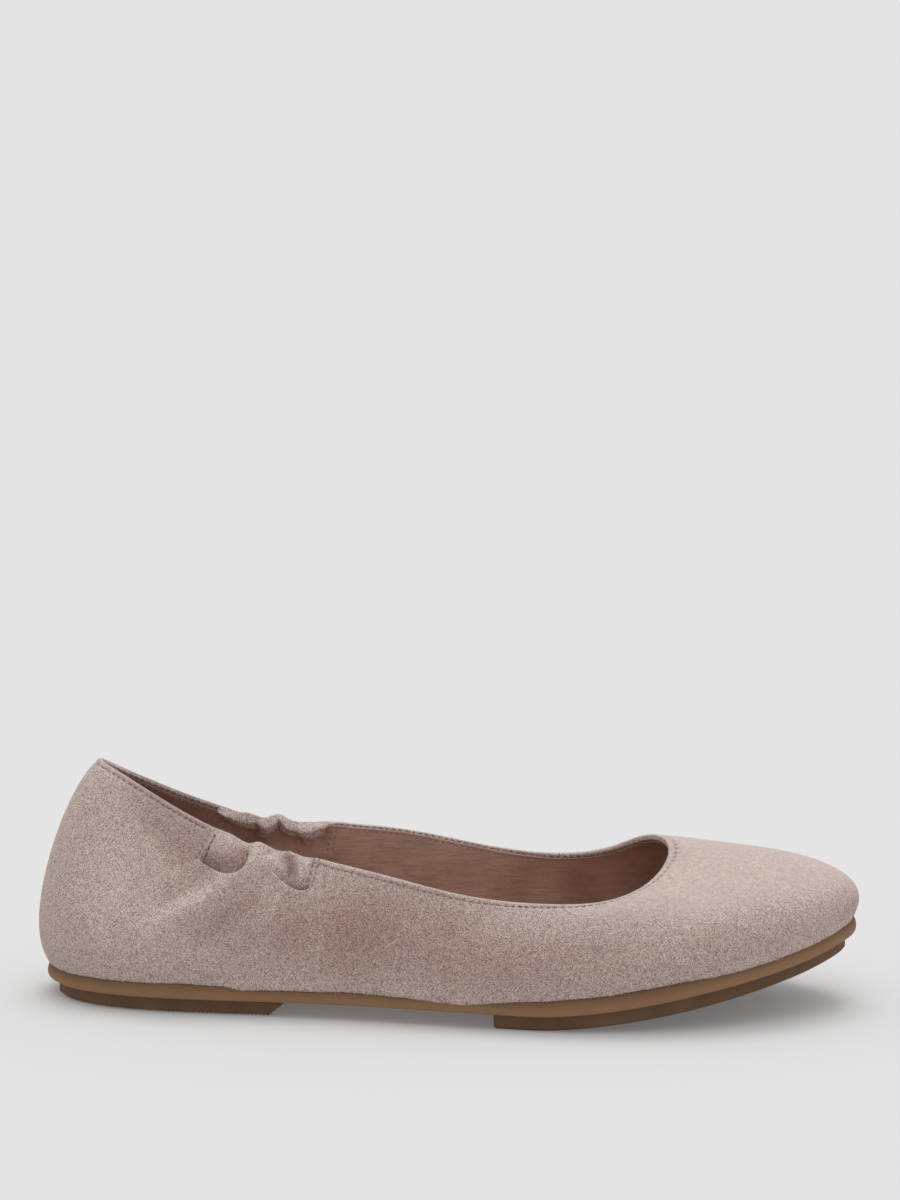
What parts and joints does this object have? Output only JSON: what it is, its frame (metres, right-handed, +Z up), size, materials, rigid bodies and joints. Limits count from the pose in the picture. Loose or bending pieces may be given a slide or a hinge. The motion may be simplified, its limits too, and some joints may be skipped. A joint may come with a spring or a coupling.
{
  "type": "ballet flat",
  "caption": "Right ballet flat with a hollow suede upper, gathered elastic collar, round toe, full-length rubber midsole and separate heel and forefoot outsole pads.",
  "frame": {"origin": "middle of the bounding box at the ground", "axes": "+X points from the heel to the toe, +Y to the medial (inner) side, +Z up"},
  "size_m": [0.2492, 0.0824, 0.0721],
  "materials": {
    "suede": "napped suede, dusty pink",
    "lining_leather": "smooth grain lining, pinkish brown",
    "insole_leather": "smooth grain sock, pinkish brown",
    "midsole_rubber": "satin gum rubber, mid brown",
    "outsole_rubber": "matt rubber, dark brown",
    "thread": "matt sewing thread, dusty pink"
  },
  "bodies": {
    "root": {"upper": "suede", "elastic_casing_lateral": "suede", "elastic_casing_medial": "suede", "insole": "insole_leather", "midsole": "midsole_rubber", "outsole_heel": "outsole_rubber", "outsole_forefoot": "outsole_rubber"}
  },
  "joints": []
}
